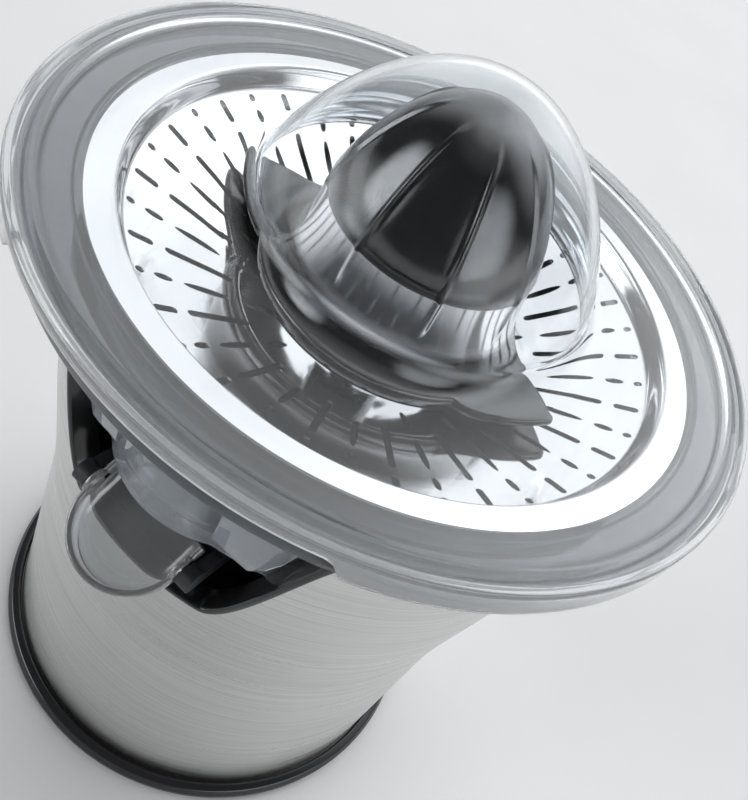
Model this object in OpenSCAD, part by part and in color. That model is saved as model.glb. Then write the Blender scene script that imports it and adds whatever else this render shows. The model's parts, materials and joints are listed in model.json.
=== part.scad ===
// Electric citrus press: a steel-clad motor base, a clear juice collector with a tilting spout,
// a perforated sieve, a ribbed reamer cone and a clear domed dust cover.
// The origin is on the table at the drive axis, +Z is up and the spout faces -Y.

/* [Body] */
// Height of the clear rim's top above the table
rim_z = 210; // [208:1:212]
// Radius of the widest rim, on the dust cover
rim_r = 104; // [103.5:0.5:108]
// Radius of the steel sleeve at its waist
waist_r = 77.3; // [77:0.1:77.6]
// Radius of the steel sleeve at its shoulder
shoulder_r = 85; // [84:0.5:87]
// Height of the lowest point of the front cut-out
cut_low = 129; // [127:1:130]

/* [Cone and cover] */
// Radius that the cone's curve would have at the rim's height
cone_r = 31.4; // [28:0.2:33]
// Height of the cone's tip above the rim
cone_h = 43.6; // [40:0.2:44]
// Number of ribs on the cone
rib_count = 8; // [4:1:16]
// Radius that the dome's curve has at the rim's height
dome_r = 49.8; // [48:0.2:52]
// Height of the dome above the rim
dome_h = 49.3; // [48:0.1:56]

/* [Sieve] */
// Number of times that the pattern of slots repeats round the sieve
slot_sets = 20; // [12:1:22]
// Width of the sieve's slots
slot_w = 2; // [1.2:0.1:2.4]

/* [Drive] */
// Teeth on each large gear
gear_teeth = 45; // [45:1:45]
// Teeth on each pinion
pinion_teeth = 15; // [15:1:15]
// How far the cone goes down when it is pressed
press_travel = 3; // [1:0.5:3]

/* [Spout] */
// Length of the spout beyond its pivot
spout_l = 18.5; // [16:0.5:20]
// Angle of the open spout below level
spout_drop = 35; // [25:1:40]

/* [Hidden] */
$fn = 96;

// Steel sleeve and base
sleeve_t = 0.8;
sleeve_bottom = 4.6;
sleeve_top = 182;
flare_low = 80;
flare_high = 170;
ring_r = 82.2;
ring_inner_r = 74.3;
spigot_top = 12.5;
cover_bottom = 3;
cover_t = 2.5;
foot_circle_r = 60;
screw_circle_r = 68;
inlet_z = 22;

// Front cut-out: angles from the front at which its edge starts and stops rising
cut_start = 16;
cut_end = 38;
cut_r = 83.5;
trim_t = 2;
trim_depth = 7.5;
trim_top = 186;

// Inner housing
wall_gap = 0.3;
wall_t = 2.2;
wall_inset = sleeve_t + wall_gap;
recess_z = 121;
recess_t = 2.5;
drum_r = 64.5;
drum_t = 2.5;
deck_z = 151;
deck_top = 154;
tower_r = 11;
tower_bore_r = 8.6;
tower_top = 172;
bush_boss_z = 144;
post_x = 40;
post_y = 22;
post_r = 4;

// Gearbox
plate_z = 112;
plate_t = 3;
plate_r = 62;
gear_module = 1;
tooth_addendum = 0.9;
tooth_dedendum = 1.2;
backlash = 0.2;
pressure_angle = 20;
centre_distance = gear_module * (gear_teeth + pinion_teeth) / 2;
axle_r = 3;
rivet_r = 1.8;
axle_top = 147;
low_gear_z = 118.5;
high_gear_z = 128;
big_gear_t = 6;
output_gear_t = 8;
motor_x = 24;
motor_y = 12;
motor_angle = atan2(motor_y - centre_distance, motor_x);
running_gap = 0.05;

// Drive shaft
shaft_r = 4;
shaft_bottom = 104.5;
shaft_top = 232;
flat_depth = 1;
hub_low_r = 5.9;
hub_high_r = 7;
hub_bottom = 111;
hub_top = 153;
collar_z = 163.5;
collar_t = 2.5;
collar_r = 6.8;
clip_t = 1.5;
clip_r = 6.5;

// Start switch
switch_top = 99.5;
switch_bottom = 84;
plunger_r = 2;

// Motor
bolt_offset = 22;
bolt_r = 2;
stator_half = 27;
stator_window = 19;
stator_z = 46;
stator_h = 24;
rotor_r = 14;
upper_plate_z = 78;
lower_plate_z = 34;
bracket_t = 2;
motor_shaft_r = 2.5;
fan_z = 22;
fan_h = 9;
fan_r = 22;

// Rim stack: the collector's seat, its rim, the sieve and the cover's brim
seat_z = rim_z - 5.9;
sieve_t = 0.6;
sieve_top = seat_z + sieve_t;
brim_z = rim_z - 3;
brim_t = 2;

// Juice collector
bowl_r = 76.5;
bowl_t = 2.2;
shelf_r = 83;
bowl_foot_z = 150;
bowl_floor_t = 2.2;
chimney_r = 13.4;
chimney_t = 1.8;
chimney_top = 176;
collector_rim_r = 101;
chamber_z = 151.5;
chamber_top = 192;
chamber_half = 19;
chamber_front = -80;
chamber_back = -66;
chamber_t = 1.8;
outlet_y = -74;
flap_r = 80.2;
flap_t = 1.8;
flap_low = 150;

// Spout
pivot_y = -82.5;
pivot_z = 146;
ear_r = 4;
spout_half = 16.6;
spout_t = 1.6;
spout_floor = -6.5;
spout_rear = 7;
pin_r = 1.8;
barrel_r = 3.4;
barrel_end = 21;
arm_x = 19.2;
arm_w = 3.4;
arm_h = 5.6;

// Sieve
sieve_rim_r = 86.5;
sieve_fillet_r = 80;
sieve_slope = 0.42;
sieve_mid_r = 46;
sieve_mid_z = 185.5;
sieve_hole_r = 15.5;
sieve_inner_r = 26;

// Reamer cone
cone_wall = 2.2;
cone_foot_z = 218;
skirt_r = 40.5;
skirt_top = 192;
skirt_rear_r = 34.5;
wing_gap = press_travel + 0.9;
wing_t = 3.2;
wing_angle = -7;
left_wing_angle = 180 - wing_angle;
cone_hub_r = 8;
cone_hub_bottom = 180;
rib_w = 1.2;
rib_h = 0.9;

// Dust cover
cover_wall = 1.8;
flare_r = 57;
flare_z = 215;
lip_bottom = rim_z - 8.5;
lip_t = 2.2;
lip_gap_angle = 28;

PLASTIC_BLACK = [0.05, 0.05, 0.055];
PLASTIC_CLEAR = [0.8, 0.84, 0.87, 0.4];
STEEL = [0.72, 0.72, 0.72];
BRASS = [0.75, 0.6, 0.3];
COPPER = [0.72, 0.4, 0.2];
NYLON = [0.9, 0.89, 0.84];

// ---------- curves ----------

// Rises from 0 to 1 as t goes from 0 to 1, level at both ends
function smooth_step(t) = let (u = min(max(t, 0), 1)) u * u * (3 - 2 * u);

// Outer radius of the steel sleeve at height z: a straight waist, then a soft flare
function skin_r(z) = waist_r
    + (shoulder_r - waist_r) * smooth_step((z - flare_low) / (flare_high - flare_low));

function reversed(list) = [for (i = [len(list) - 1:-1:0]) list[i]];

function skin_line(z0, z1, inset, steps) =
    [for (i = [0:steps]) let (z = z0 + (z1 - z0) * i / steps) [skin_r(z) - inset, z]];

// Closed outline of a wall that follows the sleeve, between two insets from its outside
function skin_outline(z0, z1, outer, inner, steps = 12) =
    concat(skin_line(z0, z1, outer, steps), reversed(skin_line(z0, z1, inner, steps)));

// Height of the cut-out's edge at an angle from the front
function cut_z(a) = cut_low + (sleeve_top - cut_low)
    * smooth_step((abs(a) - cut_start) / (cut_end - cut_start));

// The cut-out's edge, seen from the front, moved inwards by the given amount
function cut_line(inward) =
    [for (a = [-cut_end:2:cut_end]) [(cut_r * sin(abs(a)) - inward * abs(a) / cut_end)
        * sign(a), cut_z(a) + inward]];

// Radius of the dome's outside at a height above the rim
function dome_curve(h) = dome_r * sqrt(max(0, 1 - pow(h / dome_h, 1.3)));

// Radius of the cone's outside at a height above the rim
function cone_curve(h) = cone_r * sqrt(max(0, 1 - pow(h / cone_h, 1.54)));

// Height of the sieve's upper side at a radius
function sieve_z(r) = sieve_mid_z + sieve_slope * (r - sieve_mid_r);

// ---------- shared shapes ----------

module tube(outer_r, inner_r, z0, z1) {
    difference() {
        translate([0, 0, z0]) cylinder(r = outer_r, h = z1 - z0);
        translate([0, 0, z0 - 1]) cylinder(r = inner_r, h = z1 - z0 + 2);
    }
}

module skin_wall(z0, z1, outer, inner) {
    rotate_extrude() polygon(skin_outline(z0, z1, outer, inner));
}

// A prism along Y in front of the axis, from an outline drawn as seen from the front
module front_prism(outline) {
    translate([0, -45, 0])
        rotate([90, 0, 0])
            linear_extrude(height = 60)
                polygon(outline);
}

// Everything above the cut-out's edge, moved inwards by the given amount
module cut_window(inward) {
    line = cut_line(inward);
    last = line[len(line) - 1];
    front_prism(concat(line, [[last[0], trim_top + 5], [-last[0], trim_top + 5]]));
}

module at_bolts() {
    for (x = [-bolt_offset, bolt_offset])
        for (y = [-bolt_offset, bolt_offset])
            translate([motor_x + x, motor_y + y, 0]) children();
}

module at_posts() {
    for (x = [-post_x, post_x])
        for (y = [-post_y, post_y])
            translate([x, y, 0]) children();
}

module around(count, radius, start = 0) {
    for (i = [0:count - 1])
        rotate([0, 0, start + i * 360 / count])
            translate([radius, 0, 0]) children();
}

module screw(shank_r, head_r, head_h, z0, z1) {
    translate([0, 0, z0]) cylinder(r = head_r, h = head_h, $fn = 32);
    translate([0, 0, z0]) cylinder(r = shank_r, h = z1 - z0, $fn = 32);
}

// ---------- gears ----------

function involute(a) = tan(a) * 180 / PI - a;

// Half of a tooth's angle at radius r, for a gear of the given pitch radius
function tooth_half(r, pitch_r) =
    let (base_r = pitch_r * cos(pressure_angle),
         half_at_pitch = (PI * gear_module / 2 - backlash) / (2 * pitch_r) * 180 / PI,
         at = acos(min(1, base_r / max(r, base_r))))
    half_at_pitch + involute(pressure_angle) - involute(at);

function gear_outline(teeth) =
    let (pitch_r = gear_module * teeth / 2,
         root_r = pitch_r - tooth_dedendum,
         tip_r = pitch_r + tooth_addendum,
         base_r = max(pitch_r * cos(pressure_angle), root_r + 0.1),
         radii = [root_r, base_r, (base_r + 2 * pitch_r) / 3, pitch_r, (pitch_r + tip_r) / 2, tip_r],
         slim = base_r > root_r + 0.2 ? 0.82 : 1,
         halves = [for (i = [0:5]) tooth_half(radii[i], pitch_r) * (i == 0 ? slim : 1)])
    [for (k = [0:teeth - 1], i = [0:11])
        let (j = i < 6 ? i : 11 - i,
             a = k * 360 / teeth + (i < 6 ? -halves[j] : halves[j]))
        radii[j] * [cos(a), sin(a)]];

module spur_gear(teeth, z0, height) {
    translate([0, 0, z0]) linear_extrude(height = height) polygon(gear_outline(teeth));
}

// ---------- base ----------

module base_ring() {
    color(PLASTIC_BLACK)
    rotate_extrude()
        polygon([
            [ring_inner_r, 1], [ring_r - 1, 1], [ring_r, 2], [ring_r, 3.2], [ring_r - 0.7, 4.8],
            [ring_r - 2.2, 6], [waist_r + 0.9, 6.6], [waist_r + 0.6, sleeve_bottom],
            [waist_r - sleeve_t - 0.3, sleeve_bottom], [waist_r - sleeve_t - 0.3, spigot_top],
            [ring_inner_r, spigot_top]
        ]);
}

module bottom_cover() {
    color(PLASTIC_BLACK)
    difference() {
        translate([0, 0, cover_bottom]) cylinder(r = ring_inner_r - 0.3, h = cover_t);
        around(4, foot_circle_r, 45) cylinder(r = 3, h = 10);
        around(4, screw_circle_r, 22.5) cylinder(r = 1.6, h = 10);
        around(4, screw_circle_r, 22.5)
            translate([0, 0, cover_bottom - 1]) cylinder(r = 3.6, h = 2.2);
        around(16, 0, 11.25) translate([18, -1.5, 0]) cube([26, 3, 10]);
    }
}

module rubber_feet() {
    color([0.12, 0.12, 0.12])
    around(4, foot_circle_r, 45) {
        cylinder(r = 8, h = cover_bottom);
        cylinder(r = 2.95, h = cover_bottom + cover_t);
    }
}

module base_screws() {
    color(STEEL)
    around(4, screw_circle_r, 22.5)
        translate([0, 0, cover_bottom + 0.1]) screw(1.5, 3.2, 1.1, 0, 14);
}

module inlet_axis() {
    translate([0, 0, inlet_z]) rotate([-90, 0, 0]) children();
}

module cord_gland() {
    color(PLASTIC_BLACK)
    inlet_axis() {
        tube(5.3, 3.4, 68, waist_r + 0.3);
        tube(7.5, 3.4, waist_r + 0.3, waist_r + 3);
        tube(7, 3.4, 68, 70);
    }
}

module terminal_block() {
    color(NYLON)
    translate([-12, 44, cover_bottom + cover_t])
        difference() {
            cube([24, 12, 11]);
            for (x = [4, 12, 20]) translate([x, 6, 5]) cylinder(r = 2, h = 8);
        }
}

// ---------- outer shell ----------

module steel_sleeve() {
    color(STEEL)
    difference() {
        skin_wall(sleeve_bottom, sleeve_top, 0, sleeve_t);
        cut_window(0);
        inlet_axis() cylinder(r = 5.4, h = 100);
    }
}

module cutout_trim() {
    line_low = cut_line(0);
    line_high = cut_line(trim_t);
    color([0.1, 0.1, 0.105])
    union() {
        difference() {
            skin_wall(sleeve_top, trim_top, -0.3, trim_depth);
            cut_window(trim_t);
        }
        intersection() {
            skin_wall(cut_low - 4, sleeve_top + trim_t, -0.3, trim_depth);
            front_prism(concat(line_low, reversed(line_high)));
        }
    }
}

module inner_housing() {
    color(PLASTIC_BLACK)
    difference() {
        union() {
            difference() {
                skin_wall(spigot_top, sleeve_top, wall_inset, wall_inset + wall_t);
                cut_window(0);
            }
            rotate_extrude()
                polygon([
                    [drum_r - drum_t, recess_z],
                    [skin_r(recess_z) - wall_inset - wall_t / 2, recess_z],
                    [skin_r(recess_z) - wall_inset - wall_t / 2, recess_z + recess_t],
                    [drum_r, recess_z + recess_t], [drum_r, deck_top],
                    [tower_r, deck_top], [tower_r, tower_top], [tower_bore_r, tower_top],
                    [tower_bore_r, deck_top], [9, deck_top], [9, bush_boss_z],
                    [12, bush_boss_z], [12, deck_z], [drum_r - drum_t, deck_z]
                ]);
            at_posts() translate([0, 0, plate_z + plate_t]) cylinder(r = post_r, h = 38);
            translate([0, centre_distance, 141]) cylinder(r = 6, h = 12);
            around(4, screw_circle_r, 22.5) base_boss();
            pivot_barrels();
        }
        translate([0, centre_distance, 140]) cylinder(r = axle_r, h = 7);
        at_posts() translate([0, 0, plate_z]) cylinder(r = 1.5, h = 18);
        around(4, screw_circle_r, 22.5) cylinder(r = 1.5, h = 18);
        inlet_axis() cylinder(r = 5.4, h = 100);
    }
}

// A boss on the housing's wall that takes one base screw
module base_boss() {
    translate([0, 0, cover_bottom + cover_t]) cylinder(r = 3.8, h = 22);
    translate([2, -1.2, spigot_top + 1]) cube([5.4, 2.4, 14]);
}

// Two barrels that carry the spout's pivot, each on an arm from the housing's drum
module pivot_barrels() {
    for (side = [-1, 1]) {
        translate([side * (spout_half + 0.5), pivot_y, pivot_z])
            rotate([0, side * 90, 0])
                cylinder(r = barrel_r, h = barrel_end - spout_half - 0.5, $fn = 48);
        translate([side * (spout_half - 1.2), pivot_y, pivot_z])
            rotate([0, side * 90, 0])
                cylinder(r = pin_r, h = 3, $fn = 48);
        translate([side * arm_x - arm_w / 2, pivot_y, pivot_z - barrel_r])
            cube([arm_w, 25, arm_h]);
    }
}

// ---------- gearbox ----------

module shaft_seal() {
    color([0.15, 0.15, 0.15])
    rotate_extrude()
        polygon([
            [tower_bore_r, 168], [tower_bore_r, tower_top], [tower_bore_r + 1, tower_top],
            [tower_bore_r + 1, tower_top + 1], [shaft_r + 1, tower_top + 1],
            [shaft_r + running_gap, tower_top + 2], [shaft_r + running_gap, 168]
        ]);
}

module shaft_bush() {
    color(BRASS) tube(9, hub_high_r + running_gap, bush_boss_z, deck_top);
}

module gearbox_plate() {
    color(STEEL)
    difference() {
        translate([0, 0, plate_z]) cylinder(r = plate_r, h = plate_t);
        translate([0, 0, plate_z - 1]) cylinder(r = 8, h = 10);
        translate([motor_x, motor_y, plate_z - 1]) cylinder(r = 4.5, h = 10);
        translate([0, centre_distance, plate_z - 1]) cylinder(r = rivet_r, h = 10);
        at_posts() translate([0, 0, plate_z - 1]) cylinder(r = 1.7, h = 10);
        at_bolts() translate([0, 0, plate_z - 1]) cylinder(r = bolt_r, h = 10);
    }
}

module plate_bushes() {
    color(BRASS) {
        tube(8, hub_low_r + running_gap, plate_z, plate_z + 5.5);
        translate([motor_x, motor_y, 0])
            tube(4.5, motor_shaft_r + running_gap, plate_z, plate_z + 4.5);
    }
}

module gearbox_screws() {
    color(STEEL) at_posts() screw(1.5, 3.4, 2, plate_z - 2, plate_z + 16);
}

// A pin with a thinner end that is riveted into the gearbox plate
module gear_axle() {
    color(STEEL)
    translate([0, centre_distance, 0])
    rotate_extrude()
        polygon([
            [0, plate_z], [rivet_r, plate_z], [rivet_r, plate_z + plate_t],
            [axle_r, plate_z + plate_t], [axle_r, axle_top], [0, axle_top]
        ]);
}

module intermediate_gear() {
    color(NYLON)
    translate([0, centre_distance, 0])
    difference() {
        union() {
            rotate([0, 0, motor_angle]) spur_gear(gear_teeth, low_gear_z, big_gear_t);
            rotate([0, 0, 270 - 11.5 * 360 / pinion_teeth])
                spur_gear(pinion_teeth, low_gear_z + 1, big_gear_t + 11);
        }
        translate([0, 0, low_gear_z - 1]) cylinder(r = axle_r + running_gap, h = 30);
        translate([0, 0, low_gear_z - 1])
            difference() {
                cylinder(r = 19, h = 3);
                cylinder(r = 10, h = 3);
            }
    }
}

// The shaft's section, round with one flat
module shaft_section(gap) {
    difference() {
        circle(r = shaft_r + gap, $fn = 96);
        translate([shaft_r - flat_depth + 4 * gap, -10]) square([10, 20]);
    }
}

module output_gear() {
    color(NYLON)
    difference() {
        union() {
            rotate([0, 0, 90 % (360 / gear_teeth)])
                spur_gear(gear_teeth, high_gear_z, output_gear_t);
            translate([0, 0, hub_bottom]) cylinder(r = hub_low_r, h = high_gear_z - hub_bottom);
            translate([0, 0, high_gear_z]) cylinder(r = hub_high_r, h = hub_top - high_gear_z);
        }
        translate([0, 0, hub_bottom - 1])
            linear_extrude(height = hub_top - hub_bottom + 2) shaft_section(running_gap);
    }
}

module drive_shaft() {
    color(STEEL)
    union() {
        translate([0, 0, shaft_bottom])
            linear_extrude(height = collar_z - shaft_bottom) shaft_section(0);
        translate([0, 0, collar_z]) cylinder(r = collar_r, h = collar_t);
        translate([0, 0, collar_z + collar_t]) cylinder(r = shaft_r, h = 12);
        translate([0, 0, collar_z + collar_t + 12])
            linear_extrude(height = shaft_top - collar_z - collar_t - 12) shaft_section(0);
    }
}

module shaft_clip() {
    color(STEEL)
    translate([0, 0, hub_bottom - 0.3 - clip_t])
        linear_extrude(height = clip_t)
            difference() {
                circle(r = clip_r);
                shaft_section(0);
                translate([-12, -2]) square([12, 4]);
            }
}

// Points of one ring of the spring's wire, at turn angle a and height z
function wire_ring(a, z, coil_r, wire_r, sides) =
    [for (i = [0:sides - 1])
        let (b = i * 360 / sides, r = coil_r + wire_r * cos(b))
        [r * cos(a), r * sin(a), z + wire_r * sin(b)]];

module return_spring() {
    coil_r = 6;
    wire_r = 0.5;
    sides = 8;
    turns = 4;
    steps = turns * 24;
    z0 = hub_top + wire_r + 0.1;
    z1 = collar_z - wire_r - 0.1;
    rings = [for (k = [0:steps])
        wire_ring(k * 360 * turns / steps, z0 + (z1 - z0) * k / steps, coil_r, wire_r, sides)];
    points = [for (ring = rings) each ring];
    sides_faces = [for (k = [0:steps - 1], i = [0:sides - 1])
        let (j = (i + 1) % sides)
        [k * sides + i, (k + 1) * sides + i, (k + 1) * sides + j, k * sides + j]];
    first = [[for (i = [0:sides - 1]) i]];
    last = [[for (i = [sides - 1:-1:0]) steps * sides + i]];
    color(STEEL) polyhedron(points = points, faces = concat(sides_faces, first, last));
}

// ---------- start switch ----------

module switch_bracket() {
    color(STEEL)
    difference() {
        union() {
            translate([-22, -6, 82]) cube([1.5, 12, plate_z - 82]);
            translate([-36, -6, plate_z - 1.5]) cube([15.5, 12, 1.5]);
        }
        translate([-30, 0, plate_z - 5]) cylinder(r = 1.7, h = 8);
    }
}

module start_switch() {
    color([0.2, 0.2, 0.22])
    difference() {
        translate([-20.5, -5, switch_bottom]) cube([24.5, 10, switch_top - switch_bottom]);
        translate([0, 0, switch_bottom + 2]) cylinder(r = plunger_r + 0.2, h = 20);
    }
}

module switch_plunger() {
    color([0.75, 0.15, 0.1])
    translate([0, 0, switch_bottom + 2 + press_travel + 0.5])
        cylinder(r = plunger_r, h = shaft_bottom - 0.3 - switch_bottom - 2.5 - press_travel);
}

// ---------- motor ----------

module bracket_plate(z) {
    difference() {
        translate([-stator_half, -stator_half, z])
            cube([2 * stator_half, 2 * stator_half, bracket_t]);
        for (a = [0:90:270])
            rotate([0, 0, a]) translate([16, 0, z - 1]) cylinder(r = 6, h = bracket_t + 2);
    }
    translate([0, 0, z - 1]) cylinder(r = 7, h = bracket_t + 2);
}

module bracket_posts(z0, z1) {
    for (x = [-bolt_offset, bolt_offset])
        for (y = [-bolt_offset, bolt_offset])
            translate([x, y, z0]) cylinder(r = 3.2, h = z1 - z0, $fn = 48);
}

module bracket_bores() {
    for (x = [-bolt_offset, bolt_offset])
        for (y = [-bolt_offset, bolt_offset])
            translate([x, y, 20]) cylinder(r = bolt_r + 0.1, h = 110, $fn = 48);
    translate([0, 0, 20]) cylinder(r = 4.5, h = 90);
}

module upper_bracket() {
    color(STEEL)
    translate([motor_x, motor_y, 0])
    difference() {
        union() {
            bracket_plate(upper_plate_z);
            bracket_posts(stator_z + stator_h, plate_z);
        }
        bracket_bores();
    }
}

module lower_bracket() {
    color(STEEL)
    translate([motor_x, motor_y, 0])
    difference() {
        union() {
            bracket_plate(lower_plate_z);
            bracket_posts(lower_plate_z, stator_z);
        }
        bracket_bores();
    }
}

module motor_bushes() {
    color(BRASS)
    translate([motor_x, motor_y, 0])
    for (z = [lower_plate_z, upper_plate_z])
        tube(4.5, motor_shaft_r + running_gap, z - 1, z + bracket_t + 1);
}

module stator_core() {
    color([0.45, 0.45, 0.46])
    translate([motor_x, motor_y, stator_z])
    linear_extrude(height = stator_h)
    difference() {
        square(2 * stator_half, center = true);
        difference() {
            square(2 * stator_window, center = true);
            square([22, 2 * stator_window + 1], center = true);
        }
        circle(r = rotor_r + 0.5);
        for (x = [-bolt_offset, bolt_offset])
            for (y = [-bolt_offset, bolt_offset])
                translate([x, y]) circle(r = bolt_r + 0.1, $fn = 48);
    }
}

module stator_coils() {
    color(COPPER)
    for (side = [-1, 1])
        translate([motor_x, motor_y + side * 17, stator_z + stator_h / 2])
            difference() {
                cube([35, 3.4, stator_h + 10], center = true);
                cube([22.4, 5, stator_h + 0.4], center = true);
            }
}

module motor_screws() {
    color(STEEL) at_bolts() screw(bolt_r, 3.5, 2.5, lower_plate_z - 2.5, plate_z + plate_t - 0.4);
}

module rotor() {
    color([0.55, 0.55, 0.56])
    translate([motor_x, motor_y, 0])
        tube(rotor_r, motor_shaft_r, stator_z, stator_z + stator_h);
}

module rotor_shaft() {
    color(STEEL)
    translate([motor_x, motor_y, fan_z - 1])
        cylinder(r = motor_shaft_r, h = 126.5 - fan_z);
}

module motor_pinion() {
    color(BRASS)
    translate([motor_x, motor_y, 0])
    difference() {
        rotate([0, 0, motor_angle + 180 - 180 / pinion_teeth])
            spur_gear(pinion_teeth, low_gear_z - 1, 8);
        translate([0, 0, low_gear_z - 2]) cylinder(r = motor_shaft_r, h = 10);
    }
}

module cooling_fan() {
    color([0.2, 0.2, 0.22])
    translate([motor_x, motor_y, fan_z])
    difference() {
        union() {
            translate([0, 0, -0.5]) cylinder(r = 6, h = fan_h + 1);
            for (i = [0:6])
                rotate([0, 0, i * 360 / 7])
                    translate([4, -0.7, 0]) cube([fan_r - 4, 1.4, fan_h]);
        }
        translate([0, 0, -1]) cylinder(r = motor_shaft_r, h = fan_h + 3);
    }
}

// ---------- juice parts ----------

// The front chamber's block: straight sides that end in a wide curve, inset by the given amount
module chamber_block(inset) {
    side = chamber_half - inset;
    nose_r = 26;
    z = chamber_z + inset;
    intersection() {
        translate([-side, chamber_front, z])
            cube([2 * side, chamber_back - chamber_front - inset, chamber_top - z - inset]);
        translate([0, chamber_front + nose_r, 0]) cylinder(r = nose_r - inset, h = rim_z);
    }
}

// The two flaps beside the chamber: each hangs from the shelf and ends in a blunt point
module flaps() {
    plan = [[17.5, 188.8], [17.5, 158.5], [25.4, 154.9], [28.4, 154.2], [31.8, 157.6],
            [34.6, 163], [36.9, 170.5], [39.1, 178], [41.9, 188.8]];
    for (side = [-1, 1])
        intersection() {
            tube(flap_r, flap_r - flap_t, flap_low, 188.8);
            translate([0, -60, 0])
                rotate([90, 0, 0])
                    linear_extrude(height = 40)
                        polygon([for (p = plan) [side * p[0], p[1]]]);
        }
}

module juice_collector() {
    color(PLASTIC_CLEAR)
    difference() {
        union() {
            flaps();
            rotate_extrude()
                polygon([
                    [chimney_r - chimney_t, deck_top], [bowl_r - bowl_t, deck_top],
                    [bowl_r - bowl_t, bowl_foot_z], [bowl_r, bowl_foot_z],
                    [bowl_r, trim_top + 0.5], [shelf_r, trim_top + 2.5],
                    [shelf_r, seat_z - 2.2], [sieve_rim_r + 2.5, seat_z - 2.2],
                    [sieve_rim_r + 2.5, seat_z + 0.3], [collector_rim_r - 2, seat_z + 0.3],
                    [collector_rim_r - 2, seat_z - 5], [collector_rim_r, seat_z - 5],
                    [collector_rim_r, seat_z + 2.4], [sieve_rim_r + 0.5, seat_z + 2.4],
                    [sieve_rim_r + 0.5, seat_z], [shelf_r - bowl_t, seat_z],
                    [shelf_r - bowl_t, trim_top + 4.5], [bowl_r - bowl_t, trim_top + 2.5],
                    [bowl_r - bowl_t, deck_top + bowl_floor_t],
                    [chimney_r, deck_top + bowl_floor_t], [chimney_r, chimney_top],
                    [chimney_r - chimney_t, chimney_top]
                ]);
            difference() {
                chamber_block(0);
                translate([0, 0, deck_top + bowl_floor_t])
                    cylinder(r = bowl_r - bowl_t, h = 60);
            }
            translate([0, outlet_y, chamber_z - 1.5]) cylinder(r = 4.6, h = 3);
        }
        chamber_block(chamber_t);
        translate([0, outlet_y, chamber_z - 5]) cylinder(r = 3.2, h = 10);
    }
}

// The spout in its own frame: x across, y back towards the pivot, z up, level
module spout_plan(inset) {
    intersection() {
        union() {
            translate([0, -(spout_l - spout_half)]) circle(r = spout_half - inset);
            translate([-spout_half + inset, -(spout_l - spout_half)])
                square([2 * (spout_half - inset), spout_l]);
        }
        translate([-30, -30]) square([60, 30 + spout_rear - inset]);
    }
}

module spout() {
    color(PLASTIC_CLEAR)
    translate([0, pivot_y, pivot_z])
    rotate([spout_drop, 0, 0])
    difference() {
        union() {
            difference() {
                translate([0, 0, spout_floor])
                    linear_extrude(height = 8) spout_plan(0);
                translate([0, 0, spout_floor + spout_t])
                    linear_extrude(height = 10) spout_plan(spout_t);
                translate([-spout_half + spout_t, 0, spout_floor + spout_t])
                    cube([2 * (spout_half - spout_t), 20, 10]);
                translate([-20, ear_r, spout_floor + 3]) cube([40, 20, 10]);
            }
            for (side = [-1, 1])
                translate([side * (spout_half - spout_t / 2), 0, 0])
                    rotate([0, 90, 0])
                        cylinder(r = ear_r, h = spout_t, center = true);
        }
        rotate([0, 90, 0]) cylinder(r = pin_r + running_gap, h = 60, center = true);
    }
}

// A radial slot with round ends, from radius r0 to r1, cut through the whole sieve
module slot_cutter(r0, r1) {
    half = slot_w / 2;
    outer_end = [for (a = [-90:45:90]) [r1 - half + half * cos(a), half * sin(a)]];
    inner_end = [for (a = [90:45:270]) [r0 + half + half * cos(a), half * sin(a)]];
    linear_extrude(height = rim_z) polygon(concat(outer_end, inner_end));
}

module slot_pattern() {
    step = 360 / slot_sets;
    for (i = [0:slot_sets - 1]) {
        rotate([0, 0, i * step]) {
            slot_cutter(47, 66);
            slot_cutter(69, 75.5);
        }
        rotate([0, 0, (i + 0.5) * step]) {
            slot_cutter(38, 45);
            slot_cutter(50, 63);
            slot_cutter(66, 71);
            slot_cutter(73.5, 75.8);
        }
    }
}

// The sieve's upper line from its rim to its hub
function sieve_line() = [
    [sieve_rim_r, sieve_top], [sieve_fillet_r, sieve_top], [sieve_fillet_r - 0.8, sieve_top - 0.8],
    [sieve_fillet_r - 1.4, sieve_z(sieve_fillet_r) + 1], [sieve_fillet_r - 2, sieve_z(sieve_fillet_r - 2)],
    [sieve_inner_r, sieve_z(sieve_inner_r)], [sieve_hole_r, sieve_z(sieve_inner_r)]
];

module sieve() {
    line = sieve_line();
    color([0.85, 0.85, 0.86])
    difference() {
        rotate_extrude()
            polygon(concat(line, reversed([for (p = line) p - [0, sieve_t]])));
        slot_pattern();
    }
}

// The wing's plan: a straight leading edge, a blunt tip and a curved trailing edge
module wing_plan() {
    polar = [[33.5, 36], [42, 25], [46.7, 17], [52, 9.5], [55, 5.5], [56.8, 4.1], [57.2, 2.8],
             [56.3, 1], [54, -2.5], [50.5, -8], [46.5, -14], [42.5, -20], [36.5, -27]];
    polygon([for (p = polar) p[0] * [cos(p[1]), sin(p[1])]]);
}

module wing() {
    intersection() {
        linear_extrude(height = rim_z) wing_plan();
        rotate_extrude()
            polygon([
                [33, sieve_z(33) + wing_gap + 0.5], [60, sieve_z(60) + wing_gap],
                [60, sieve_z(60) + wing_gap + wing_t], [44, sieve_z(44) + wing_gap + wing_t],
                [33, sieve_z(33) + wing_gap + 2 * wing_t]
            ]);
    }
}

// The cone's outline from its tip down to its skirt's edge, grown outwards by the given amount
function cone_outline(grow) = concat(
    [for (i = [1:14])
        let (h = cone_h * cos(i * 81 / 14))
        if (h > cone_foot_z - rim_z + 1) [cone_curve(h) + grow, rim_z + h]],
    [for (a = [0:15:90])
        [skirt_r - (skirt_r - cone_curve(cone_foot_z - rim_z)) * cos(a) + grow * cos(a),
         cone_foot_z - (cone_foot_z - skirt_top) * sin(a)]]
);

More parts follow.
